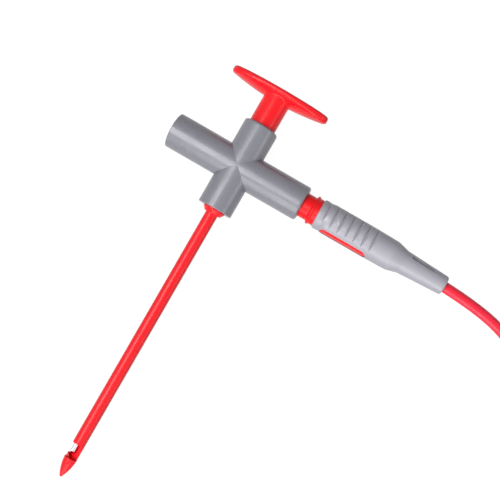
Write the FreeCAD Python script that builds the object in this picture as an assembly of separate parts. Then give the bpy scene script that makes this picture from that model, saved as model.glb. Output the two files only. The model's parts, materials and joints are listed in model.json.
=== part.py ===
import FreeCAD
import Part

import math
import os

# Insulation-piercing test clip with its test lead, lying on a table.  Lengths are in mm.
# Everything is drawn about the crossing of the four arms: X runs along the two finger
# arms towards the socket, Y along the plunger towards the thumb pad, Z up.  place()
# then moves it all, so that the origin is on the table under the middle of the clip.

# ---- Grey cross-shaped body -------------------------------------------------------
arm_d = 14.5
finger_arm = 29.75
top_arm = 18.6
bottom_arm = 19.4
socket_rim_round = 1.0
top_rim_round = 1.0
cap_rim_round = 0.3
bottom_rim_round = 0.3
mouth_chamfer = 0.3

# ---- Plunger: thumb pad and hollow stem --------------------------------------------
travel = 8.0
stem_d = 11.2
stem_bore = 8.0
stem_below = 9.0
stem_shown = 11.4
stem_ceiling = 3.5
stem_in_pad = 2.3
pad_l = 43.0
pad_w = 14.5
pad_t = 3.1
pad_rim = 2.7
pad_belly = 3.0
pad_lift = 2.1
pad_edge_round = 1.1
pad_neck_round = 0.6

# ---- Hook tube: slider, tube, strut and arrow tip ----------------------------------
slider_d = 9.2
slider_dome_d = 6.9
slider_dome = 1.5
slider_proud = 2.0
tube_d = 5.2
tube_end = 108.4
mouth_l = 6.4
tip_l = 8.4
tip_back_d = 5.4
tip_point_d = 0.8
tip_bulge = 0.5
strut_turn = 60.0
lip_from = 2.2
lip_w = 1.5
lip_l = 1.8
lip_high = 0.6

# ---- Needle and its holder ---------------------------------------------------------
needle_d = 2.0
needle_x = -0.8
needle_head_d = 5.0
needle_head = 0.8
needle_point = 1.4
needle_to_tip = 1.5
block_d = 7.0
block_l = 8.0
spring_seat_t = 0.8

# ---- Return spring -----------------------------------------------------------------
spring_wire = 0.7
spring_turns = 8

# ---- Socket in the right-hand arm --------------------------------------------------
stud_d = 4.0
stud_past_nut = 1.5
socket_bore = 4.04
socket_contact_d = 5.4
socket_contact_set_back = 2.7
socket_contact_floor = 2.3
socket_sleeve_d = 6.6
socket_sleeve_set_back = 0.5
socket_floor_t = 2.3
nut_across = 7.0
nut_t = 3.2
washer_d = 8.4
washer_t = 0.8
cavity_d = 9.5
cap_d = 11.7
cap_t = 2.4

# ---- Shrouded 4 mm plug ------------------------------------------------------------
shroud_d = 10.1
shroud_bore = 7.0
shroud_l = 25.2
shroud_depth = 22.7
flange_d = 12.2
flange_t = 1.6
flange_slope = 0.5
flange_round = 0.3
collar_d = 11.2
collar_shown = 1.8
core_d = 10.8
core_l = 29.0
grip_mouth_d = 12.5
grip_waist_d = 12.2
grip_d = 12.8
grip_rear_d = 12.4
boot_root_d = 9.8
boot_end_d = 7.9
grip_mouth_l = 1.6
grip_waist_at = 3.0
grip_full_at = 4.6
grip_rear_at = 24.5
grip_shoulder_at = 34.0
boot_root_at = 39.0
grip_l = 58.2
boot_end_round = 0.9
boot_flare_l = 9.0
boot_flare = 0.4
grip_shoulder_round = 3.0
boot_root_round = 2.0
window_floor = 2.7
grip_front_round = 0.7
groove_count = 7
groove_first = 3.0
groove_pitch = 3.6
groove_w = 1.9
groove_deep = 0.75
groove_half_span = 56.0
window_first = 3.6
window_l = 21.0
window_w = 4.6
boot_slot_first = 41.2
boot_slot_l = 11.0
boot_slot_w = 1.9
boot_slot_deep = 1.3
boot_slot_turn = 27.0
plug_roll = 17.0
pin_core_d = 3.0
pin_set_back = 2.3
pin_head_l = 1.6
pin_head_d = 3.7
lantern_d = 3.96
lantern_l = 14.0
lantern_wall = 0.2
lantern_slits = 6
lantern_slit_w = 0.5
lantern_slit_l = 11.2
barrel_d = 5.0
barrel_end = 69.7
conductor_d = 2.0
conductor_l = 8.0
seat_gap = 0.3

# ---- Test lead ---------------------------------------------------------------------
cord_d = 4.6
coil_mean_r = 25.0
coil_turns_per_layer = 2.58
coil_layers = 2
coil_pitch = 4.7
coil_edge_round = 2.2
coil_x = 176.0
coil_y = 6.0
coil_start = -112.0
coil_finish = -45.0
tie_t = 0.8
tie_w = 8.0
tie_places = (20.0, 200.0)
far_plug_x = 115.2
far_plug_y = 50.0

# ---- Clearances, on the radius unless they lie along an axis ------------------------
running = 0.1
snug = 0.05
needle_fit = 0.03
needle_way = 0.15
shroud_fit = 0.2
cord_fit = 0.1
stop_gap = 0.15
pin_fit = 0.02
coupling_pin_d = 1.5
coupling_pin_in = 1.2
coupling_pin_set_back = 0.2
coupling_hole_past = 1.0
block_way = 0.6

# ---- Places that follow from the sizes above ----------------------------------------
grip_height = max(grip_mouth_d, grip_d) / 2
axis_height = max(arm_d / 2, pad_w / 2)
stem_bottom = -stem_below
large_bore_bottom = stem_bottom - travel - stop_gap
pad_under = top_arm + stem_shown
pad_top = pad_under + pad_belly + pad_rim
ceiling = pad_under - stem_ceiling
slider_end = -bottom_arm - slider_proud
mouth_top = -bottom_arm - tube_end
tip_back = mouth_top - mouth_l
tip_point = tip_back - tip_l
needle_tip = tip_back + needle_to_tip
strut_reach = needle_d / 2 + needle_way
bore_d = stem_d + 2 * running
inner_wall_x = bore_d / 2 + socket_floor_t
nut_seat_x = -inner_wall_x
plug_x = inner_wall_x + seat_gap
coil_base = tie_t + snug
coil_half_w = coil_turns_per_layer * coil_pitch / 2 + cord_d / 2
coil_height = cord_d + (coil_layers - 1) * coil_pitch
clip_top = pad_under + pad_lift + pad_t
clip_middle_y = (clip_top + tip_point) / 2

X_AXIS = FreeCAD.Vector(1, 0, 0)
Y_AXIS = FreeCAD.Vector(0, 1, 0)
Z_AXIS = FreeCAD.Vector(0, 0, 1)
ORIGIN = FreeCAD.Vector(0, 0, 0)


def rod(start, end, diameter):
    """A round bar along X from one station to another."""
    return Part.makeCylinder(diameter / 2, end - start, FreeCAD.Vector(start, 0, 0), X_AXIS)


def cone(start, end, start_d, end_d):
    """A tapered round bar along X."""
    place_at = FreeCAD.Vector(start, 0, 0)
    return Part.makeCone(start_d / 2, end_d / 2, end - start, place_at, X_AXIS)


def turned(points):
    """A solid of revolution about X from a closed outline of (station, radius) points."""
    corners = [FreeCAD.Vector(station, radius, 0) for station, radius in points]
    face = Part.Face(Part.makePolygon(corners + corners[:1]))
    return face.revolve(ORIGIN, X_AXIS, 360)


def on_y(shape):
    """Turns a piece drawn along X so that it runs along Y."""
    turned_piece = shape.copy()
    turned_piece.rotate(ORIGIN, Z_AXIS, 90)
    return turned_piece


def on_needle(shape):
    """Turns a piece drawn along X onto the needle's axis, which lies beside the plunger's."""
    moved = on_y(shape)
    moved.translate(X_AXIS * needle_x)
    return moved


def rims(shape, station, diameter):
    """The round edges about X at one station and of one diameter."""
    found = []
    for edge in shape.Edges:
        curve = edge.Curve
        if not isinstance(curve, Part.Circle):
            continue
        same_place = abs(curve.Center.x - station) < 1e-4
        if same_place and abs(curve.Radius - diameter / 2) < 1e-4:
            found.append(edge)
    return found


def rounded(shape, station, diameter, radius):
    return shape.makeFillet(radius, rims(shape, station, diameter))


def place(shape):
    """Moves a piece from the crossing's frame to the part's own frame."""
    placed = shape.copy()
    placed.translate(FreeCAD.Vector(0, -clip_middle_y, axis_height))
    return placed


# ---- Grey body ---------------------------------------------------------------------
def cross_body():
    fingers = rod(-finger_arm, finger_arm, arm_d)
    fingers = rounded(fingers, finger_arm, arm_d, socket_rim_round)
    fingers = rounded(fingers, -finger_arm, arm_d, cap_rim_round)
    upright = rod(-bottom_arm, top_arm, arm_d)
    upright = rounded(upright, top_arm, arm_d, top_rim_round)
    upright = rounded(upright, -bottom_arm, arm_d, bottom_rim_round)
    body = fingers.fuse(on_y(upright))

    guide = rod(-bottom_arm, large_bore_bottom, slider_d + 2 * running)
    bore = rod(large_bore_bottom, top_arm, bore_d)
    lead_in = cone(top_arm - mouth_chamfer, top_arm, bore_d, bore_d + 2 * mouth_chamfer)
    body = body.cut([on_y(guide), on_y(bore), on_y(lead_in)])

    socket_d = shroud_d + 2 * shroud_fit
    socket = rod(inner_wall_x, finger_arm, socket_d)
    socket_lead_in = cone(
        finger_arm - mouth_chamfer, finger_arm, socket_d, socket_d + 2 * mouth_chamfer
    )
    cavity = rod(-finger_arm, nut_seat_x, cavity_d)
    cap_seat = rod(-finger_arm, -finger_arm + cap_t, cap_d + 2 * snug)
    stud_way = rod(nut_seat_x, inner_wall_x, stud_d + 2 * snug)
    return body.cut([socket, socket_lead_in, cavity, cap_seat, stud_way])


def arm_end_cap():
    cap = rod(-finger_arm, -finger_arm + cap_t, cap_d)
    return rounded(cap, -finger_arm, cap_d, cap_rim_round)


# ---- Socket, stud and what they hold -----------------------------------------------
def socket_contact():
    mouth = finger_arm - socket_contact_set_back
    tube = rod(inner_wall_x, mouth, socket_contact_d)
    stud_end = nut_seat_x - washer_t - nut_t - stud_past_nut
    stud = rod(stud_end, inner_wall_x, stud_d)
    bore = rod(inner_wall_x + socket_contact_floor, mouth, socket_bore)
    needle_hole = rod(-stud_d, stud_d, needle_d + 2 * needle_fit)
    return tube.fuse(stud).cut([bore, on_needle(needle_hole)])


def socket_sleeve():
    mouth = finger_arm - socket_sleeve_set_back
    sleeve = rod(inner_wall_x, mouth, socket_sleeve_d)
    return sleeve.cut(rod(inner_wall_x, mouth, socket_contact_d + 2 * snug))


def stud_washer():
    washer = rod(nut_seat_x - washer_t, nut_seat_x, washer_d)
    return washer.cut(rod(nut_seat_x - washer_t, nut_seat_x, stud_d + 2 * snug))


def stud_nut():
    seat = nut_seat_x - washer_t
    corners = []
    for i in range(7):
        angle = math.radians(60 * i)
        reach = nut_across / math.sqrt(3)
        corners.append(FreeCAD.Vector(seat, reach * math.cos(angle), reach * math.sin(angle)))
    hexagon = Part.Face(Part.makePolygon(corners)).extrude(FreeCAD.Vector(-nut_t, 0, 0))
    return hexagon.cut(rod(seat - nut_t, seat, stud_d + 2 * snug))


def contact_block():
    block = on_y(rod(-block_l / 2, block_l / 2, block_d))
    needle_hole = on_needle(rod(-block_l / 2, block_l / 2, needle_d + 2 * needle_fit))
    stud_hole = rod(-block_d, block_d, stud_d + 2 * snug)
    return block.cut([needle_hole, stud_hole])


def piercing_needle():
    top = block_l / 2
    shank = rod(needle_tip + needle_point, top, needle_d)
    point = Part.makeCone(
        0, needle_d / 2, needle_point, FreeCAD.Vector(needle_tip, 0, 0), X_AXIS
    )
    head = rod(top, top + needle_head, needle_head_d)
    return on_needle(shank.fuse([point, head]))


def spring_seat():
    """A cup over the needle's head: a flat top with a rim that keeps it in line."""
    bottom = block_l / 2
    top = bottom + needle_head + snug
    cup = on_y(rod(bottom, top + spring_seat_t, stem_bore - 4 * running))
    return cup.cut(on_needle(rod(bottom, top, needle_head_d + 2 * snug)))


def return_spring():
    bottom = block_l / 2 + needle_head + snug + spring_seat_t
    length = ceiling - bottom
    mean_r = (stem_bore - spring_wire) / 2 - 2 * running
    rise = length - spring_wire - 2 * snug
    helix = Part.makeHelix(rise / spring_turns, rise, mean_r)
    start = FreeCAD.Vector(mean_r, 0, 0)
    section = Part.Wire(Part.makeCircle(spring_wire / 2, start, Y_AXIS))
    spring = Part.Wire(helix).makePipeShell([section], True, True)
    spring.rotate(ORIGIN, Y_AXIS, 90)
    spring.translate(FreeCAD.Vector(bottom + spring_wire / 2 + snug, 0, 0))
    return on_y(spring)


# ---- Plunger and hook, which move together -----------------------------------------
def cross_arc(middle, edge):
    """An arc over the pad's width: its middle and its two ends lie at these levels."""
    ends = [FreeCAD.Vector(0, edge, z) for z in (-pad_w / 2, pad_w / 2)]
    return Part.Arc(ends[0], FreeCAD.Vector(0, middle, 0), ends[1]).toShape()


def thumb_pad():
    """An oval dished plate: a bent trough that an oval column is cut from."""
    low_edge = pad_under + pad_belly
    sides = []
    for z in (-pad_w / 2, pad_w / 2):
        low = FreeCAD.Vector(0, low_edge, z)
        sides.append(Part.makeLine(low, low + Y_AXIS * pad_rim))
    arcs = [cross_arc(pad_under, low_edge), cross_arc(pad_under + pad_t, pad_top)]
    section = Part.Face(Part.Wire(Part.__sortEdges__(arcs + sides)))
    bend_r = (pad_l**2 / 4 + pad_lift**2) / (2 * pad_lift)
    half_turn = math.degrees(math.asin(pad_l / 2 / (bend_r - pad_belly - pad_rim))) + 1
    middle = FreeCAD.Vector(0, pad_under + bend_r, 0)
    section.rotate(middle, Z_AXIS, -half_turn)
    trough = section.revolve(middle, Z_AXIS, 2 * half_turn)

    foot = pad_under - pad_belly
    oval = Part.Ellipse(
        FreeCAD.Vector(pad_l / 2, foot, 0),
        FreeCAD.Vector(0, foot, pad_w / 2),
        FreeCAD.Vector(0, foot, 0),
    )
    column = Part.Face(Part.Wire(oval.toShape()))
    column = column.extrude(Y_AXIS * (pad_top + pad_lift + pad_belly - foot))
    plate = trough.common(column)
    rim = [edge for edge in plate.Edges if edge.Length > pad_l / 2]
    return plate.makeFillet(pad_edge_round, rim)


def thumb_plunger():
    stem = rod(stem_bottom, pad_under + stem_in_pad, stem_d)
    pad = thumb_pad()
    body = pad.fuse(on_y(stem)).removeSplitter()
    neck = [
        edge
        for edge in body.Edges
        if edge.BoundBox.YMin > top_arm and edge.BoundBox.XLength < stem_d + running
    ]
    body = body.makeFillet(pad_neck_round, neck)
    bore = rod(stem_bottom, ceiling, stem_bore)
    slot_low = -stud_d / 2 - stop_gap
    slot_high = stud_d / 2 + travel + stop_gap
    slot_w = stud_d + 2 * running
    slot = Part.makeBox(
        stem_d + slot_w,
        slot_high - slot_low,
        slot_w,
        FreeCAD.Vector(-(stem_d + slot_w) / 2, slot_low, -slot_w / 2),
    )
    return body.cut([on_y(bore), slot] + coupling_holes(pin_fit, coupling_hole_past))


def coupling_holes(clearance, past):
    """The two radial pins that tie hook and stem together, or the holes for them."""
    station = (stem_bottom - block_l / 2) / 2
    inner = strut_reach + coupling_pin_in - clearance
    outer = stem_d / 2 - coupling_pin_set_back + past
    radius = coupling_pin_d / 2 + clearance
    pins = []
    for side in (1, -1):
        foot = FreeCAD.Vector(0, station, side * inner)
        pins.append(Part.makeCylinder(radius, outer - inner, foot, Z_AXIS * side))
    return pins


def arrow_tip():
    """The pointed end: a slightly bulged cone, drawn along X with its point towards -X."""
    back = FreeCAD.Vector(tip_back, tip_back_d / 2, 0)
    point = FreeCAD.Vector(tip_point, tip_point_d / 2, 0)
    middle = (back + point) * 0.5
    flank_direction = back - point
    outward = FreeCAD.Vector(-flank_direction.y, flank_direction.x, 0).normalize()
    bulged = middle + outward * tip_bulge
    flank = Part.Arc(back, bulged, point).toShape()
    nose = Part.makeLine(point, FreeCAD.Vector(tip_point, 0, 0))
    axis = Part.makeLine(FreeCAD.Vector(tip_point, 0, 0), FreeCAD.Vector(tip_back, 0, 0))
    rear = Part.makeLine(FreeCAD.Vector(tip_back, 0, 0), back)
    outline = Part.Face(Part.Wire([flank, nose, axis, rear]))
    return outline.revolve(ORIGIN, X_AXIS, 360)


def tip_lip():
    """The wedge on the back of the arrow, beside the needle's point."""
    corners = [(-lip_from, 0), (-lip_from, lip_l), (lip_w - lip_from, 0), (-lip_from, 0)]
    outline = [FreeCAD.Vector(x, tip_back + y, lip_high) for x, y in corners]
    wedge = Part.Face(Part.makePolygon(outline)).extrude(Z_AXIS * -tube_d)
    return wedge.common(on_y(rod(tip_back, tip_back + lip_l, tube_d)))


def hook_tube():
    spigot_top = -block_l / 2 - block_way
    spigot = rod(stem_bottom, spigot_top, stem_bore - 2 * snug)
    slider = rod(slider_end + slider_dome, stem_bottom, slider_d)
    dome = cone(slider_end, slider_end + slider_dome, slider_dome_d, slider_d)
    tube = rod(tip_back, slider_end, tube_d)
    hook = tube.fuse([dome, slider, spigot, arrow_tip()])
    hook = on_y(hook).cut(on_needle(rod(mouth_top, spigot_top, 2 * strut_reach)))
    mouth = Part.makeBox(
        2 * tube_d + strut_reach,
        mouth_l,
        4 * tube_d,
        FreeCAD.Vector(-2 * tube_d, tip_back, -2 * tube_d),
    )
    mouth.rotate(ORIGIN, Y_AXIS, strut_turn)
    mouth.translate(X_AXIS * needle_x)
    hook = hook.cut([mouth] + coupling_holes(pin_fit, coupling_hole_past))
    return hook.fuse(tip_lip()).removeSplitter()


# ---- Shrouded plug, drawn along X with its mouth at the origin -----------------------
collar_end = shroud_l + flange_t + collar_shown


def plug_body():
    """The red insulator: shroud, flange, collar and the core under the grip."""
    core_end = collar_end + core_l
    flange_end = shroud_l + flange_t
    body = turned(
        [
            (0, shroud_bore / 2),
            (0, shroud_d / 2),
            (shroud_l, shroud_d / 2),
            (shroud_l + flange_slope, flange_d / 2),
            (flange_end - flange_slope, flange_d / 2),
            (flange_end, collar_d / 2),
            (collar_end, collar_d / 2),
            (collar_end, core_d / 2),
            (core_end, core_d / 2),
            (core_end, barrel_d / 2 + snug),
            (shroud_depth, barrel_d / 2 + snug),
            (shroud_depth, shroud_bore / 2),
        ]
    )
    body = rounded(body, shroud_l + flange_slope, flange_d, flange_round)
    return rounded(body, flange_end - flange_slope, flange_d, flange_round)


def groove(station, side):
    """A tapering finger groove: a V ring about an axis that lies off the plug's own."""
    surface = grip_d / 2
    bottom = surface - groove_deep
    reach = bottom - surface * math.cos(math.radians(groove_half_span))
    offset = (surface**2 - bottom**2) / (2 * reach)
    apex = bottom + offset
    rise = 2 * groove_deep
    half_w = groove_w / 2 * rise / groove_deep
    ring = turned(
        [(station, apex), (station - half_w, apex + rise), (station + half_w, apex + rise)]
    )
    ring.translate(FreeCAD.Vector(0, 0, -side * offset))
    return ring


def stadium(first, length, width, depth_from, depth_to, direction):
    """A round-ended slot cutter along X that reaches out radially in one direction."""
    half = width / 2
    bars = []
    span = length - width
    for start in (first + half, first + half + span):
        foot = FreeCAD.Vector(start, 0, 0) + direction * depth_from
        bars.append(Part.makeCylinder(half, depth_to - depth_from, foot, direction))
    across = direction.cross(X_AXIS)
    corner = FreeCAD.Vector(first + half, 0, 0) + direction * depth_from - across * half
    corners = [
        corner,
        corner + X_AXIS * span,
        corner + X_AXIS * span + across * width,
        corner + across * width,
        corner,
    ]
    middle = Part.Face(Part.makePolygon(corners))
    middle = middle.extrude(direction * (depth_to - depth_from))
    return bars[0].fuse([bars[1], middle])


def plug_grip():
    """The grey over-moulding: grip, shoulder and strain-relief boot."""
    front = collar_end
    core_end = front + core_l
    boot_end = front + grip_l
    shell = turned(
        [
            (front, core_d / 2 + snug),
            (front, grip_mouth_d / 2),
            (front + grip_mouth_l, grip_mouth_d / 2),
            (front + grip_waist_at, grip_waist_d / 2),
            (front + grip_full_at, grip_d / 2),
            (front + grip_rear_at, grip_d / 2),
            (front + grip_shoulder_at, grip_rear_d / 2),
            (front + boot_root_at, boot_root_d / 2),
            (boot_end, boot_end_d / 2),
            (boot_end, cord_d / 2 + cord_fit + boot_flare),
            (boot_end - boot_flare_l, cord_d / 2 + cord_fit),
            (barrel_end, cord_d / 2 + cord_fit),
            (barrel_end, barrel_d / 2 + snug),
            (core_end + snug, barrel_d / 2 + snug),
            (core_end + snug, core_d / 2 + snug),
        ]
    )
    shell = rounded(shell, front, grip_mouth_d, grip_front_round)
    shell = rounded(shell, boot_end, boot_end_d, boot_end_round)
    shell = rounded(shell, front + grip_shoulder_at, grip_rear_d, grip_shoulder_round)
    shell = rounded(shell, front + boot_root_at, boot_root_d, boot_root_round)
    cuts = []
    for side in (1, -1):
        for i in range(groove_count):
            cuts.append(groove(front + groove_first + i * groove_pitch, side))
        slot_angle = math.radians(90 - boot_slot_turn)
        outward = FreeCAD.Vector(0, math.cos(slot_angle), math.sin(slot_angle)) * side
        slot_floor = boot_root_d / 2 - boot_slot_deep
        cuts.append(
            stadium(
                front + boot_slot_first,
                boot_slot_l,
                boot_slot_w,
                slot_floor,
                boot_root_d,
                outward,
            )
        )
        cuts.append(
            stadium(
                front + window_first, window_l, window_w, window_floor, grip_d, Y_AXIS * side
            )
        )
    return shell.cut(cuts)


def plug_contact():
    """Pin and barrel, turned from one bar, with a bore for the conductor."""
    head_end = pin_set_back + pin_head_l
    pin = rod(pin_set_back, shroud_depth, pin_core_d)
    head = rod(pin_set_back, head_end, pin_head_d)
    head = rounded(head, pin_set_back, pin_head_d, pin_head_l / 2)
    barrel = rod(shroud_depth, barrel_end, barrel_d)
    conductor_bore = rod(barrel_end - conductor_l, barrel_end, conductor_d + 2 * snug)
    return pin.fuse([head, barrel]).cut(conductor_bore)


def plug_lantern_spring():
    """The slit barrel spring round the pin that grips the socket."""
    start = pin_set_back + pin_head_l + seat_gap
    end = start + lantern_l
    inner_end_r = pin_core_d / 2 + needle_fit
    outer_end_r = inner_end_r + lantern_wall
    belly_r = lantern_d / 2
    middle = (start + end) / 2

    def bow(end_r, middle_r):
        first = FreeCAD.Vector(start, end_r, 0)
        last = FreeCAD.Vector(end, end_r, 0)
        return Part.Arc(first, FreeCAD.Vector(middle, middle_r, 0), last).toShape()

    outer = bow(outer_end_r, belly_r)
    inner = bow(inner_end_r, belly_r - lantern_wall)
    ends = []
    for station in (start, end):
        low = FreeCAD.Vector(station, inner_end_r, 0)
        ends.append(Part.makeLine(low, FreeCAD.Vector(station, outer_end_r, 0)))
    face = Part.Face(Part.Wire(Part.__sortEdges__([outer, inner] + ends)))
    spring = face.revolve(ORIGIN, X_AXIS, 360)
    slits = []
    for i in range(lantern_slits):
        slit = Part.makeBox(
            lantern_slit_l,
            lantern_slit_w,
            lantern_d,
            FreeCAD.Vector(middle - lantern_slit_l / 2, -lantern_slit_w / 2, 0),
        )
        slit.rotate(ORIGIN, X_AXIS, 360 * i / lantern_slits)
        slits.append(slit)
    return spring.cut(slits)


PLUG_PIECES = {
    "plug_body": plug_body(),
    "plug_grip": plug_grip(),
    "plug_contact": plug_contact(),
    "plug_lantern_spring": plug_lantern_spring(),
}


def plug_at(piece, x, y, height, roll):
    """Puts a plug's piece on its place, with its axis along X."""
    put = piece.copy()
    put.rotate(ORIGIN, X_AXIS, roll)
    put.translate(FreeCAD.Vector(x, y, height - axis_height))
    return put


# ---- Lead ---------------------------------------------------------------------------
def cord_path(points):
    """Straight runs joined by tangent arcs, as a wire; prints the arcs' radii."""
    edges = []
    radii = []
    start = points[0]
    for before, corner, after in zip(points, points[1:], points[2:]):
        to_corner = corner - before
        from_corner = after - corner
        half_turn = to_corner.getAngle(from_corner) / 2
        tangent = 0.45 * min(to_corner.Length, from_corner.Length)
        radii.append(tangent / math.tan(half_turn))
        entry = corner - to_corner.normalize() * tangent
        leave = corner + from_corner.normalize() * tangent
        inward = (entry + leave) * 0.5 - corner
        sagitta = inward.Length - radii[-1] * (1 / math.cos(half_turn) - 1)
        middle = (entry + leave) * 0.5 - inward.normalize() * sagitta
        edges.append(Part.LineSegment(start, entry).toShape())
        edges.append(Part.Arc(entry, middle, leave).toShape())
        start = leave
    edges.append(Part.LineSegment(start, points[-1]).toShape())
    print("radii", [round(radius, 1) for radius in radii])
    return Part.Wire(edges)


def cord_tube(name, points):
    """A cord of round section along its route, with its volume compared with the sum."""
    route = [FreeCAD.Vector(x, y, z - axis_height) for x, y, z in points]
    path = cord_path(route)
    circle = Part.makeCircle(cord_d / 2, route[0], route[1] - route[0])
    tube = path.makePipeShell([Part.Wire(circle)], True, True)
    expected = math.pi * cord_d**2 / 4 * path.Length
    print(name, "length", round(path.Length, 1), "volume share", tube.Volume / expected)
    return tube


def coil_point(angle, radius, height):
    """A point on the coil, with its angle in degrees about the coil's middle."""
    turn = math.radians(angle)
    return (coil_x + radius * math.cos(turn), coil_y + radius * math.sin(turn), height)


coil_outer_line = coil_mean_r + coil_turns_per_layer * coil_pitch / 2
first_layer = coil_base + cord_d / 2
top_layer = first_layer + (coil_layers - 1) * coil_pitch
cord_low = cord_d / 2
boot_start = plug_x + barrel_end
near_route = [
    (boot_start, 0, axis_height),
    (100.5, 0, axis_height),
    (127, -3.6, 3.6),
    (145.5, -15, cord_low),
    coil_point(coil_start, coil_outer_line, first_layer),
]
tail_route = [
    coil_point(coil_finish, coil_outer_line, top_layer),
    (215, 2, 4.4),
    (224, 26, cord_low),
    (211.5, far_plug_y, grip_height),
    (far_plug_x + barrel_end, far_plug_y, grip_height),
]


def lead_coil():
    """One closed ring with the outer shape of all the turns."""
    ring = Part.makeCylinder(coil_mean_r + coil_half_w, coil_height)
    ring = ring.cut(Part.makeCylinder(coil_mean_r - coil_half_w, coil_height))
    round_edges = [edge for edge in ring.Edges if isinstance(edge.Curve, Part.Circle)]
    ring = ring.makeFillet(coil_edge_round, round_edges)
    ring.translate(FreeCAD.Vector(coil_x, coil_y, coil_base - axis_height))
    return ring


def upright_rectangle(inner, outer, low, high):
    """A rectangular face in the plane of X and Z."""
    corners = [(inner, low), (outer, low), (outer, high), (inner, high), (inner, low)]
    return Part.Face(Part.makePolygon([FreeCAD.Vector(x, 0, z) for x, z in corners]))


def coil_ties():
    """Straps round the bundle; each is a piece of a ring with a rectangular loop section."""
    inner_r = coil_mean_r - coil_half_w - snug
    outer_r = coil_mean_r + coil_half_w + snug
    top = coil_base + coil_height + snug
    way = upright_rectangle(inner_r, outer_r, tie_t, top)
    loop = upright_rectangle(inner_r - tie_t, outer_r + tie_t, 0, top + tie_t)
    sweep = math.degrees(tie_w / coil_mean_r)
    straps = []
    for angle in tie_places:
        strap = loop.revolve(ORIGIN, Z_AXIS, sweep).cut(way.revolve(ORIGIN, Z_AXIS, sweep))
        strap.rotate(ORIGIN, Z_AXIS, angle)
        strap.translate(FreeCAD.Vector(coil_x, coil_y, -axis_height))
        straps.append(strap)
    return Part.makeCompound(straps)


def conductor_ends():
    ends = []
    for x, y, height in ((plug_x, 0, axis_height), (far_plug_x, far_plug_y, grip_height)):
        wire = rod(barrel_end - conductor_l, barrel_end, conductor_d)
        wire.translate(FreeCAD.Vector(x, y, height - axis_height))
        ends.append(wire)
    return Part.makeCompound(ends)


pieces = {
    "cross_body": cross_body(),
    "arm_end_cap": arm_end_cap(),
    "socket_contact": socket_contact(),
    "socket_sleeve": socket_sleeve(),
    "stud_washer": stud_washer(),
    "stud_nut": stud_nut(),
    "contact_block": contact_block(),
    "piercing_needle": piercing_needle(),
    "spring_seat": spring_seat(),
    "return_spring": return_spring(),
    "thumb_plunger": thumb_plunger(),
    "hook_tube": hook_tube(),
    "coupling_pins": Part.makeCompound(coupling_holes(0, 0)),
    "lead_near": cord_tube("lead_near", near_route),
    "lead_coil": lead_coil(),
    "coil_ties": coil_ties(),
    "lead_tail": cord_tube("lead_tail", tail_route),
    "lead_conductor_ends": conductor_ends(),
}
for name, piece in PLUG_PIECES.items():
    pieces["near_" + name] = plug_at(piece, plug_x, 0, axis_height, -plug_roll)
    pieces["far_" + name] = plug_at(piece, far_plug_x, far_plug_y, grip_height, plug_roll)

os.makedirs("parts", exist_ok=True)
for name, piece in pieces.items():
    placed = place(piece)
    placed.exportStep("parts/" + name + ".step")
    box = placed.BoundBox
    print(
        f"{name:24s} {placed.isValid()} solids {len(placed.Solids)} vol {placed.Volume:9.2f}"
        f"  x {box.XMin:7.2f} {box.XMax:7.2f}  y {box.YMin:7.2f} {box.YMax:7.2f}"
        f"  z {box.ZMin:6.2f} {box.ZMax:6.2f}"
    )
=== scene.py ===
import json
import math

import bpy
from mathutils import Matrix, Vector


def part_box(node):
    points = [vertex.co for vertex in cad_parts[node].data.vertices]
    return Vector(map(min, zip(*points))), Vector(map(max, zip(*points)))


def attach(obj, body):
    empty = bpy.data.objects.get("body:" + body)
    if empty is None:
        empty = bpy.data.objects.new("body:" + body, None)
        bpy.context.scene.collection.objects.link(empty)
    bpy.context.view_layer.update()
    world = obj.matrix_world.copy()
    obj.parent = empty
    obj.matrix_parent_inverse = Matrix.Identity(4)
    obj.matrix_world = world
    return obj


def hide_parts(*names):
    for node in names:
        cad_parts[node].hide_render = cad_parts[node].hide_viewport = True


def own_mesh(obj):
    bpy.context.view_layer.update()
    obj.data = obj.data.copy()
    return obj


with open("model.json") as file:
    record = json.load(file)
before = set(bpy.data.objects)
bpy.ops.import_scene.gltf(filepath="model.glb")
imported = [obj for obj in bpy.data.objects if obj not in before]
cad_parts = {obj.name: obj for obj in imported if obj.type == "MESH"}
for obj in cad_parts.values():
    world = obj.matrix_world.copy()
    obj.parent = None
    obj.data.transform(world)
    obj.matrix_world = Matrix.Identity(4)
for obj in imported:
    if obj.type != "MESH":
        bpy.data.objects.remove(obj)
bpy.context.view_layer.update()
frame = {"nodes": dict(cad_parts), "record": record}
nodes = frame["nodes"]

MM = 0.001
PHOTO_SIDE = 500

# ---- Places read from the frame -------------------------------------------------------
block_low, block_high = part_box("contact_block")
crossing = (block_low + block_high) / 2


def row(x, y, height):
    """A point given in mm from the crossing (height from the table), in the row frame."""
    return Vector((crossing.x + x * MM, crossing.y + y * MM, height * MM))


# ---- Camera ----------------------------------------------------------------------------
focal_px = 880.0
sensor_mm = 36.0
camera_from_crossing = (52, -38.4, 352)
photo_turn = 30
camera_data = bpy.data.cameras.new("camera")
camera_data.sensor_width = sensor_mm
camera_data.lens = focal_px / PHOTO_SIDE * sensor_mm
camera_data.shift_x = -0.1064
camera_data.shift_y = 0.1308
camera = bpy.data.objects.new("camera", camera_data)
camera.location = crossing + Vector(camera_from_crossing) * MM
camera.rotation_euler = (0, 0, math.radians(photo_turn))
bpy.context.scene.collection.objects.link(camera)
bpy.context.scene.camera = camera
bpy.context.scene.view_settings.view_transform = "Standard"

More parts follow.
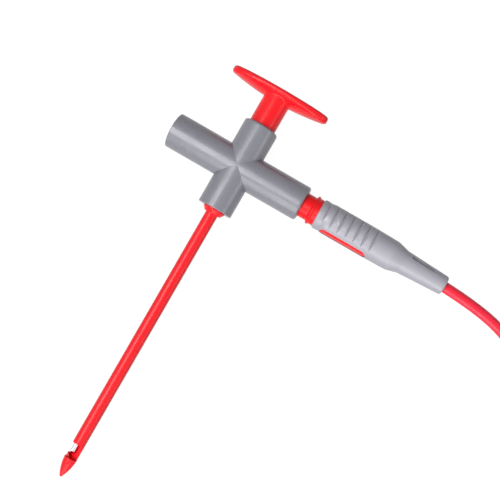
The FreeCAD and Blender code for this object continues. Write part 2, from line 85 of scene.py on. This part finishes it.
# ---- The lead: one line from boot to boot ----------------------------------------------
# Sizes are in mm and angles in degrees; only cord_length is in metres.
cord_d = 4.6
axis_height = 7.25
grip_height = 6.4
coil_middle = (176.0, 6.0)
coil_r_out = 31.06
coil_r_in = 18.94
layer_low = 3.15
layer_high = 7.85
coil_start = -112.0
coil_finish = -45.0
whole_turns = 5
turn_steps = 16
layer_change_from = 0.46
layer_change_over = 0.08
far_plug_x = 115.2
far_plug_y = 50.0
barrel_end = 69.7


def coil_point(angle, radius, height):
    turn = math.radians(angle)
    return (
        coil_middle[0] + radius * math.cos(turn),
        coil_middle[1] + radius * math.sin(turn),
        height,
    )


def coil_turns():
    """Two layers of flat spiral: inwards on the table, then outwards on top of it."""
    sweep = whole_turns * 360 + coil_finish - coil_start
    count = round(sweep / 360 * turn_steps)
    points = []
    for i in range(count + 1):
        share = i / count
        inward = 1 - abs(2 * share - 1)
        radius = coil_r_out + (coil_r_in - coil_r_out) * inward
        rise = min(max((share - layer_change_from) / layer_change_over, 0), 1)
        height = layer_low + (layer_high - layer_low) * rise
        points.append(coil_point(coil_start + sweep * share, radius, height))
    return points


route = [
    (78, 0, axis_height),
    (100.5, 0, axis_height),
    (127, -3.6, 3.6),
    (145.5, -15, 2.3),
]
route += coil_turns()
route += [
    (215, 2, 5.2),
    (224, 26, 2.3),
    (211.5, far_plug_y, grip_height),
    (far_plug_x + barrel_end, far_plug_y, grip_height),
]

# The curve's own radius is 1 and each point's radius is the cord's, so that the bounding
# box, which counts a point's radius, is the cord's.
curve = bpy.data.curves.new("lead_cord", "CURVE")
curve.dimensions = "3D"
curve.resolution_u = 8
curve.bevel_depth = 1.0
curve.bevel_resolution = 8
spline = curve.splines.new("NURBS")
spline.points.add(len(route) - 1)
for point, place in zip(spline.points, route):
    point.co = (*row(*place), 1.0)
    point.radius = cord_d / 2 * MM
spline.order_u = 3
spline.use_endpoint_u = True
lead = bpy.data.objects.new("lead_cord", curve)
bpy.context.scene.collection.objects.link(lead)
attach(lead, "lead")
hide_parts("lead_near", "lead_coil", "lead_tail")


def mesh_piece(name, vertices, faces, body, smooth=True):
    """A mesh object that rides on a body."""
    mesh = bpy.data.meshes.new(name)
    mesh.from_pydata([tuple(v) for v in vertices], [], faces)
    mesh.validate()
    mesh.update()
    for polygon in mesh.polygons:
        polygon.use_smooth = smooth
    piece = bpy.data.objects.new(name, mesh)
    bpy.context.scene.collection.objects.link(piece)
    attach(piece, body)
    return piece


# ---- Straps round the coil ---------------------------------------------------------------
strap_t = 0.7
strap_w = 8.0
strap_corner = 3.0
strap_overlap = 11.0
strap_sag = 0.12
strap_edge = 0.18
strap_columns = 6
corner_steps = 8
gap_over_coil = 0.05
gap_beside_coil = 0.1
loose_end_inset = 2.0
loose_end_lift = 0.25
loose_end_steps = 8
coil_top = layer_high + cord_d / 2


def strap_path():
    """Points (radius, height) along the strap's middle, once round the bundle and on."""
    half = strap_t / 2
    low = half + strap_sag
    high = coil_top + gap_over_coil + half
    near = coil_r_in - cord_d / 2 - gap_beside_coil - half
    far = coil_r_out + cord_d / 2 + gap_beside_coil + half
    points = []
    corners = [
        (near + strap_corner, low + strap_corner, 180),
        (far - strap_corner, low + strap_corner, 270),
        (far - strap_corner, high - strap_corner, 0),
        (near + strap_corner, high - strap_corner, 90),
    ]
    for r, z, first in corners:
        for step in range(corner_steps + 1):
            angle = math.radians(first + 90 * step / corner_steps)
            points.append((r + strap_corner * math.cos(angle), z + strap_corner * math.sin(angle)))
    points.append(points[0])
    return points


def strap(name, angle):
    """A hook-and-loop strap: a closed band and a loose end that lies on its top."""
    turn = math.radians(angle)
    outward = Vector((math.cos(turn), math.sin(turn), 0))
    along = Vector((-math.sin(turn), math.cos(turn), 0))
    centre = row(coil_middle[0], coil_middle[1], 0)
    vertices = []
    faces = []

    def band(path):
        first = len(vertices)
        for r, z in path:
            for column in range(strap_columns + 1):
                side = (column / strap_columns - 0.5) * strap_w
                sag = strap_sag * math.cos(math.pi * side / strap_w)
                place = centre + outward * (r * MM) + along * (side * MM)
                vertices.append(place + Vector((0, 0, (z + sag - strap_sag) * MM)))
        for i in range(len(path) - 1):
            for column in range(strap_columns):
                a = first + i * (strap_columns + 1) + column
                b = a + strap_columns + 1
                faces.append((a, a + 1, b + 1, b))

    path = strap_path()
    band(path)
    lift = strap_t + strap_sag
    top = coil_top + gap_over_coil + strap_t / 2
    start = coil_r_out - loose_end_inset
    loose = []
    for step in range(loose_end_steps + 1):
        share = step / loose_end_steps
        rise = loose_end_lift * share**3
        loose.append((start - strap_overlap * share, top + lift + rise))
    band(loose)
    piece = mesh_piece(name, vertices, faces, "lead")
    thick = piece.modifiers.new("thickness", "SOLIDIFY")
    thick.thickness = strap_t * MM
    thick.offset = 0
    soften = piece.modifiers.new("soft_edge", "BEVEL")
    soften.width = strap_edge * MM
    soften.segments = 2
    soften.limit_method = "ANGLE"
    return piece


straps = [strap("coil_strap_a", 29.0), strap("coil_strap_b", 209.0)]
for piece in straps:
    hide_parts("coil_ties")


# ---- Ribbed red panels that nearly fill the windows of the plugs' grips ------------------------
core_r = 5.35
panel_r = 6.05
panel_play = 0.08
rib_pitch = 0.98
rib_proud = 0.22
stations_per_rib = 8
window_from = 3.6
window_l = 21.0
window_w = 4.6
window_roll = 17.0
panel_steps = 6
tip_reach_squared = 0.01
rib_sharp = 50


def window_ribs(name, grip_node, roll):
    """Both windows' panels on a plug's core, as one piece."""
    low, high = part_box(grip_node)
    axis = Vector((low.x, (low.y + high.y) / 2, (low.z + high.z) / 2))
    half = window_w / 2 - panel_play
    length = window_l - 2 * panel_play
    count = round(length / rib_pitch) * stations_per_rib
    vertices = []
    faces = []
    for facing in (math.radians(roll), math.radians(roll + 180)):
        outward = Vector((0, math.cos(facing), math.sin(facing)))
        across = Vector((0, -math.sin(facing), math.cos(facing)))
        first = len(vertices)
        for i in range(count + 1):
            x = length * i / count
            from_end = min(x, length - x)
            short = max(half - from_end, 0)
            reach = math.sqrt(max(half**2 - short**2, tip_reach_squared))
            crest = rib_proud * max(math.cos(2 * math.pi * i / stations_per_rib), 0)
            line = [(-1, core_r)]
            for step in range(panel_steps + 1):
                share = 2 * step / panel_steps - 1
                line.append((share, panel_r + crest * (1 - share**4)))
            line.append((1, core_r))
            for share, r in line:
                side = reach * share
                rise = math.sqrt(r**2 - side**2)
                spot = axis + outward * (rise * MM) + across * (side * MM)
                spot.x += (window_from + panel_play + x) * MM
                vertices.append(spot)
        row_length = panel_steps + 3
        for i in range(count):
            for k in range(row_length - 1):
                a = first + i * row_length + k
                faces.append((a, a + 1, a + 1 + row_length, a + row_length))
    piece = mesh_piece(name, vertices, faces, "lead")
    piece.data.set_sharp_from_angle(angle=math.radians(rib_sharp))
    return piece


ribs = [
    window_ribs("near_window_ribs", "near_plug_grip", -window_roll),
    window_ribs("far_window_ribs", "far_plug_grip", window_roll),
]

# ---- Return spring -------------------------------------------------------------------------
spring_wire = 0.7
spring_turns = 8
spring_steps = 24
wire_steps = 10


def coil_spring():
    """A wire helix in the CAD spring's box."""
    low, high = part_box("return_spring")
    wire_r = spring_wire / 2 * MM
    middle_x = (low.x + high.x) / 2
    middle_z = (low.z + high.z) / 2
    mean_r = (high.x - low.x) / 2 - wire_r
    rise = high.y - low.y - 2 * wire_r
    count = spring_turns * spring_steps
    vertices = []
    faces = []
    for i in range(count + 1):
        turn = 2 * math.pi * i / spring_steps
        for k in range(wire_steps):
            around = 2 * math.pi * k / wire_steps
            r = mean_r + wire_r * math.cos(around)
            y = low.y + wire_r + rise * i / count + wire_r * math.sin(around)
            vertices.append((middle_x + r * math.cos(turn), y, middle_z + r * math.sin(turn)))
    for i in range(count):
        for k in range(wire_steps):
            a = i * wire_steps + k
            b = i * wire_steps + (k + 1) % wire_steps
            faces.append((a, b, b + wire_steps, a + wire_steps))
    faces.append(tuple(range(wire_steps)))
    faces.append(tuple(reversed(range(count * wire_steps, (count + 1) * wire_steps))))
    piece = mesh_piece("plunger_spring", vertices, faces, "housing")
    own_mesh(piece)
    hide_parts("return_spring")
    return piece


spring = coil_spring()


# ---- Materials -------------------------------------------------------------------------
# Noise scales are in features to the metre; reaches and depths are in mm.
drift_scale = 70
patch_scale = 900
handled_scale = 160
speck_share = 0.25
worn_reach = 0.35
worn_share = 0.55
# Reach and share of the painted shade that darkens grooves and corners.
recess_shade_reach = 1.4
recess_shade_share = 0.5
tarnish_scale = 120
lathe_scale = 700
lathe_depth = 0.006
loop_scale = 2400
loop_depth = 0.12
fuzz_scale = 3200
fuzz_depth = 0.05
ray_samples = 6


def linear(value):
    share = value / 255
    return share / 12.92 if share <= 0.04045 else ((share + 0.055) / 1.055) ** 2.4


def colour(red, green, blue):
    return (linear(red), linear(green), linear(blue), 1.0)


class Finish:
    """A procedural material under construction: small helpers round one node tree."""

    def __init__(self, name):
        self.material = bpy.data.materials.new(name)
        self.material.use_nodes = True
        self.tree = self.material.node_tree
        self.shader = self.tree.nodes["Principled BSDF"]
        self.place = self.tree.nodes.new("ShaderNodeTexCoord").outputs["Object"]

    def link(self, source, target):
        self.tree.links.new(source, target)

    def noise(self, scale, detail=3.0, rough=0.5, stretch=(1, 1, 1)):
        mapping = self.tree.nodes.new("ShaderNodeMapping")
        mapping.inputs["Scale"].default_value = stretch
        self.link(self.place, mapping.inputs["Vector"])
        node = self.tree.nodes.new("ShaderNodeTexNoise")
        node.inputs["Scale"].default_value = scale
        node.inputs["Detail"].default_value = detail
        node.inputs["Roughness"].default_value = rough
        self.link(mapping.outputs["Vector"], node.inputs["Vector"])
        return node.outputs["Fac"]

    def span(self, source, from_low, from_high, to_low, to_high):
        node = self.tree.nodes.new("ShaderNodeMapRange")
        node.inputs["From Min"].default_value = from_low
        node.inputs["From Max"].default_value = from_high
        node.inputs["To Min"].default_value = to_low
        node.inputs["To Max"].default_value = to_high
        self.link(source, node.inputs["Value"])
        return node.outputs["Result"]

    def blend(self, factor, first, second):
        """Mixes two colours; each is a colour or another node's output."""
        node = self.tree.nodes.new("ShaderNodeMix")
        node.data_type = "RGBA"
        self.link(factor, node.inputs["Factor"])
        for socket, value in ((node.inputs["A"], first), (node.inputs["B"], second)):
            if isinstance(value, tuple):
                socket.default_value = value
            else:
                self.link(value, socket)
        return node.outputs["Result"]

    def times(self, first, second):
        node = self.tree.nodes.new("ShaderNodeMath")
        node.operation = "MULTIPLY"
        self.link(first, node.inputs[0])
        self.link(second, node.inputs[1])
        return node.outputs[0]

    def add(self, first, second):
        node = self.tree.nodes.new("ShaderNodeMath")
        node.operation = "ADD"
        self.link(first, node.inputs[0])
        self.link(second, node.inputs[1])
        return node.outputs[0]

    def edge(self, radius):
        """About 0 on a face and 1 on an outer edge, from the rounded normal."""
        bevel = self.tree.nodes.new("ShaderNodeBevel")
        bevel.samples = ray_samples
        bevel.inputs["Radius"].default_value = radius * MM
        plain = self.tree.nodes.new("ShaderNodeNewGeometry")
        turn = self.tree.nodes.new("ShaderNodeVectorMath")
        turn.operation = "DOT_PRODUCT"
        self.link(bevel.outputs["Normal"], turn.inputs[0])
        self.link(plain.outputs["Normal"], turn.inputs[1])
        return self.span(turn.outputs["Value"], 0.98, 0.80, 0.0, 1.0)

    def hollow(self, reach):
        """0 in the open and 1 deep in a groove or a corner."""
        node = self.tree.nodes.new("ShaderNodeAmbientOcclusion")
        node.samples = ray_samples
        node.inputs["Distance"].default_value = reach * MM
        return self.span(node.outputs["AO"], 0.9, 0.35, 0.0, 1.0)

    def bump(self, layers):
        """Stacks bump layers of (height, distance in mm, strength)."""
        normal = None
        for height, depth, strength in layers:
            node = self.tree.nodes.new("ShaderNodeBump")
            node.inputs["Distance"].default_value = depth * MM
            node.inputs["Strength"].default_value = strength
            self.link(height, node.inputs["Height"])
            if normal is not None:
                self.link(normal, node.inputs["Normal"])
            normal = node.outputs["Normal"]
        self.link(normal, self.shader.inputs["Normal"])

    def base(self, source):
        self.link(source, self.shader.inputs["Base Color"])

    def rough(self, source):
        self.link(source, self.shader.inputs["Roughness"])


def moulded(name, main, drift, worn, recess_shade, rough, grain, depth, specular):
    """Moulded plastic or rubber: slow drift, fine grain, rubbed edges, painted shade in grooves
    and corners.
    """
    finish = Finish(name)
    finish.shader.inputs["Specular IOR Level"].default_value = specular
    slow = finish.span(finish.noise(drift_scale, 4, 0.6), 0.3, 0.7, 0.0, 1.0)
    fine = finish.noise(grain, 5, 0.6)
    specks = finish.span(finish.noise(grain * 0.55, 2, 0.5), 0.58, 0.74, 0.0, speck_share)
    tint = finish.blend(slow, main, drift)
    tint = finish.blend(specks, tint, drift)
    patchy = finish.span(finish.noise(patch_scale, 3, 0.6), 0.35, 0.65, 0.25, 1.0)
    rubbed = finish.times(finish.edge(worn_reach), patchy)
    tint = finish.blend(finish.span(rubbed, 0.0, 1.0, 0.0, worn_share), tint, worn)
    # Painted shade: a darker colour blended in by ambient occlusion in grooves and corners.
    painted_recess_shade = finish.span(finish.hollow(recess_shade_reach), 0.0, 1.0, 0.0, recess_shade_share)
    tint = finish.blend(painted_recess_shade, tint, recess_shade)
    finish.base(tint)
    touched = finish.noise(handled_scale, 3, 0.55)
    handled = finish.span(touched, 0.35, 0.7, rough - 0.05, rough + 0.05)
    finish.rough(finish.add(handled, finish.span(fine, 0.3, 0.7, -0.03, 0.03)))
    finish.bump([(fine, depth, 0.35)])
    return finish.material


def turned_metal(name, main, drift, rough, stretch):
    """Bare metal with fine lines round or along it and a little tarnish."""
    finish = Finish(name)
    finish.shader.inputs["Metallic"].default_value = 1.0
    slow = finish.span(finish.noise(tarnish_scale, 4, 0.6), 0.3, 0.7, 0.0, 1.0)
    finish.base(finish.blend(slow, main, drift))
    lines = finish.noise(lathe_scale, 3, 0.6, stretch)
    finish.rough(finish.span(lines, 0.3, 0.7, rough - 0.06, rough + 0.08))
    finish.bump([(lines, lathe_depth, 0.4)])
    return finish.material


def strap_weave(name, main, drift):
    """Hook-and-loop strap: a dense field of small loops over a coarse weave."""
    finish = Finish(name)
    finish.shader.inputs["Sheen Weight"].default_value = 0.4
    finish.shader.inputs["Sheen Roughness"].default_value = 0.5
    loops = finish.tree.nodes.new("ShaderNodeTexVoronoi")
    loops.inputs["Scale"].default_value = loop_scale
    finish.link(finish.place, loops.inputs["Vector"])
    fuzz = finish.noise(fuzz_scale, 4, 0.7)
    shade = finish.span(loops.outputs["Distance"], 0.0, 0.6, 0.0, 1.0)
    finish.base(finish.blend(finish.times(shade, fuzz), main, drift))
    finish.rough(finish.span(fuzz, 0.3, 0.7, 0.72, 0.92))
    finish.bump([(loops.outputs["Distance"], loop_depth, 0.6), (fuzz, fuzz_depth, 0.5)])
    return finish.material


# The fifth colour of each moulded finish is its painted shade for grooves and corners.
finishes = {
    "body_grey": moulded(
        "body_grey", colour(126, 126, 136), colour(132, 132, 142), colour(156, 156, 164),
        colour(88, 88, 96), 0.3, 2600, 0.015, specular=0.75,
    ),
    "grip_grey": moulded(
        "grip_grey", colour(163, 162, 172), colour(169, 168, 178), colour(188, 188, 194),
        colour(116, 116, 124), 0.38, 2200, 0.03, specular=0.7,
    ),
    "probe_red": moulded(
        "probe_red", colour(250, 24, 34), colour(254, 32, 42), colour(255, 92, 96),
        colour(180, 6, 16), 0.3, 2600, 0.012, specular=0.3,
    ),
    "plug_red": moulded(
        "plug_red", colour(250, 18, 26), colour(254, 26, 34), colour(255, 92, 92),
        colour(214, 16, 28), 0.3, 2600, 0.012, specular=0.24,
    ),
    "lead_red": moulded(
        "lead_red", colour(252, 30, 58), colour(255, 38, 66), colour(255, 100, 110),
        colour(184, 18, 34), 0.33, 1800, 0.012, specular=0.42,
    ),
    "needle_steel": turned_metal(
        "needle_steel", colour(206, 208, 212), colour(196, 198, 203), 0.14, (1, 0.08, 1)
    ),
    "spring_steel": turned_metal(
        "spring_steel", colour(170, 172, 176), colour(156, 158, 162), 0.3, (1, 1, 1)
    ),
    "contact_brass": turned_metal(
        "contact_brass", colour(212, 182, 112), colour(196, 160, 92), 0.26, (1, 1, 1)
    ),
    "plated_contact": turned_metal(
        "plated_contact", colour(212, 210, 204), colour(196, 194, 188), 0.2, (0.1, 1, 1)
    ),
    "bare_copper": turned_metal(
        "bare_copper", colour(206, 132, 98), colour(184, 110, 78), 0.34, (0.1, 1, 1)
    ),
    "tie_black": strap_weave("tie_black", colour(22, 22, 24), colour(52, 52, 56)),
}

# Each node takes the finish that the record gives it.
for sub_part in frame["record"]["subparts"]:
    mesh = nodes[sub_part["node"]].data
    mesh.materials.clear()
    mesh.materials.append(finishes[sub_part["material_slot"]])
lead.data.materials.append(finishes["lead_red"])
for piece in straps:
    piece.data.materials.append(finishes["tie_black"])
for piece in ribs:
    piece.data.materials.append(finishes["plug_red"])
spring.data.materials.append(finishes["spring_steel"])

# ---- Floor and light -------------------------------------------------------------------
floor_mesh = bpy.data.meshes.new("floor")
floor_reach = 3.0
floor_drop = 0.0002
floor_mesh.from_pydata(
    [
        (-floor_reach, -floor_reach, 0),
        (floor_reach, -floor_reach, 0),
        (floor_reach, floor_reach, 0),
        (-floor_reach, floor_reach, 0),
    ],
    [],
    [(0, 1, 2, 3)],
)
floor = bpy.data.objects.new("floor", floor_mesh)
floor.location.z = -floor_drop
bpy.context.scene.collection.objects.link(floor)


def seen_share(tree):
    """1 for the rays that show the backdrop: camera, glossy and transmission rays."""
    path = tree.nodes.new("ShaderNodeLightPath")
    first = tree.nodes.new("ShaderNodeMath")
    first.operation = "MAXIMUM"
    second = tree.nodes.new("ShaderNodeMath")
    second.operation = "MAXIMUM"
    tree.links.new(path.outputs["Is Camera Ray"], first.inputs[0])
    tree.links.new(path.outputs["Is Glossy Ray"], first.inputs[1])
    tree.links.new(first.outputs[0], second.inputs[0])
    tree.links.new(path.outputs["Is Transmission Ray"], second.inputs[1])
    return second.outputs[0]


floor_albedo = 0.1
floor_glow = 0.97
floor_material = bpy.data.materials.new("floor_white")
floor_material.use_nodes = True
tree = floor_material.node_tree
tree.nodes.clear()
output = tree.nodes.new("ShaderNodeOutputMaterial")
matt = tree.nodes.new("ShaderNodeBsdfDiffuse")
matt.inputs["Color"].default_value = (floor_albedo, floor_albedo, floor_albedo, 1)
lit = tree.nodes.new("ShaderNodeEmission")
lit.inputs["Strength"].default_value = floor_glow
both = tree.nodes.new("ShaderNodeAddShader")
choice = tree.nodes.new("ShaderNodeMixShader")
tree.links.new(seen_share(tree), choice.inputs[0])
tree.links.new(matt.outputs[0], both.inputs[0])
tree.links.new(lit.outputs[0], both.inputs[1])
tree.links.new(matt.outputs[0], choice.inputs[1])
tree.links.new(both.outputs[0], choice.inputs[2])
tree.links.new(choice.outputs[0], output.inputs[0])
floor_mesh.materials.append(floor_material)

world_level = 0.05
world = bpy.data.worlds.new("studio")
bpy.context.scene.world = world
world.use_nodes = True
tree = world.node_tree
tree.nodes.clear()
output = tree.nodes.new("ShaderNodeOutputWorld")
soft = tree.nodes.new("ShaderNodeBackground")
soft.inputs["Color"].default_value = (1, 1, 1, 1)
soft.inputs["Strength"].default_value = world_level
white = tree.nodes.new("ShaderNodeBackground")
white.inputs["Color"].default_value = (1, 1, 1, 1)
white.inputs["Strength"].default_value = 1.0
choice = tree.nodes.new("ShaderNodeMixShader")
tree.links.new(seen_share(tree), choice.inputs[0])
tree.links.new(soft.outputs[0], choice.inputs[1])
tree.links.new(white.outputs[0], choice.inputs[2])
tree.links.new(choice.outputs[0], output.inputs[0])


lamp_aim = Vector((0.03, 0.0, 0.0))


def softbox(name, tilt_x, tilt_y, distance, width, length, power):
    """A soft light over the clip, tilted from overhead by degrees towards +X and +Y.

    Its distance and sides are in metres and its power in watts.
    """
    data = bpy.data.lights.new(name, "AREA")
    data.shape = "RECTANGLE"
    data.size = width
    data.size_y = length
    data.energy = power
    lamp = bpy.data.objects.new(name, data)
    direction = Vector((math.tan(math.radians(tilt_x)), math.tan(math.radians(tilt_y)), 1))
    lamp.location = lamp_aim + direction.normalized() * distance
    lamp.rotation_euler = direction.to_track_quat("Z", "Y").to_euler()
    bpy.context.scene.collection.objects.link(lamp)
    return lamp


softbox("key", -23, -10, 1.2, 0.8, 0.8, 11.5)
softbox("front", 24, -58, 1.3, 1.2, 1.0, 12.5)
softbox("rim", 70, 0, 1.2, 1.2, 0.3, 2.4)
